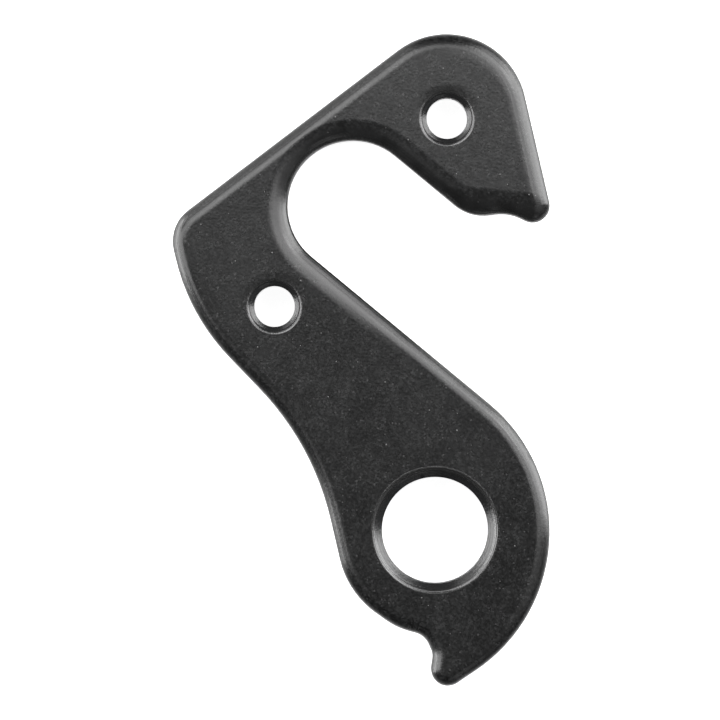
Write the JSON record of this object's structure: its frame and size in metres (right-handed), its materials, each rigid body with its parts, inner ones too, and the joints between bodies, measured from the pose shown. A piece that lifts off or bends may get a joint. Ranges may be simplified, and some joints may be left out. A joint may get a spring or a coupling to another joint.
{
  "type": "bicycle derailleur hanger",
  "caption": "Hooked dark aluminium plate that bolts to a bicycle frame behind the rear axle and carries the rear derailleur in a threaded hole below an open axle slot.",
  "frame": {"origin": "on the derailleur bolt's axis, in the plane of the flat inboard face", "axes": "+X to the front of the bicycle, +Y up along the plate from the derailleur hole to the hook, +Z outboard, away from the wheel"},
  "size_m": [0.0317, 0.0548, 0.007],
  "materials": {
    "black_anodised": "bead-blasted and black anodised, satin"
  },
  "bodies": {
    "root": {"hanger": "black_anodised"}
  },
  "joints": []
}
